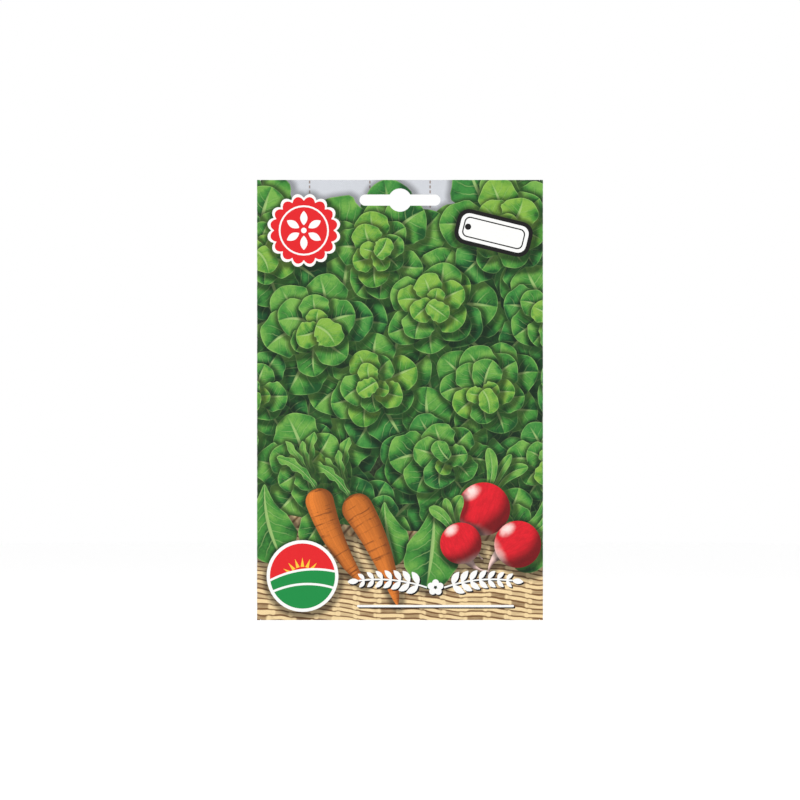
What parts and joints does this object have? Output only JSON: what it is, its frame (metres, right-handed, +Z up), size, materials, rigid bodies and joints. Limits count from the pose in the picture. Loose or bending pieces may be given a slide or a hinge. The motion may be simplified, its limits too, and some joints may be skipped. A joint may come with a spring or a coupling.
{
  "type": "seed packet",
  "caption": "Flat sealed seed packet folded from one printed paper sheet, with a hanging slot through its header and a filled inner sachet.",
  "frame": {"origin": "centre of the round hole of the hanging slot, halfway through the header", "axes": "+X to the right of a person who reads the front, -Y towards that person, +Z up as the packet hangs"},
  "size_m": [0.113, 0.008, 0.174],
  "materials": {
    "coated_paper": "printed, lightly coated, satin",
    "foil_laminate": "satin heat-seal laminate",
    "seed_coat": "matte, finely ribbed"
  },
  "bodies": {
    "root": {"packet": "coated_paper", "sachet": "foil_laminate", "seeds": "seed_coat"}
  },
  "joints": []
}
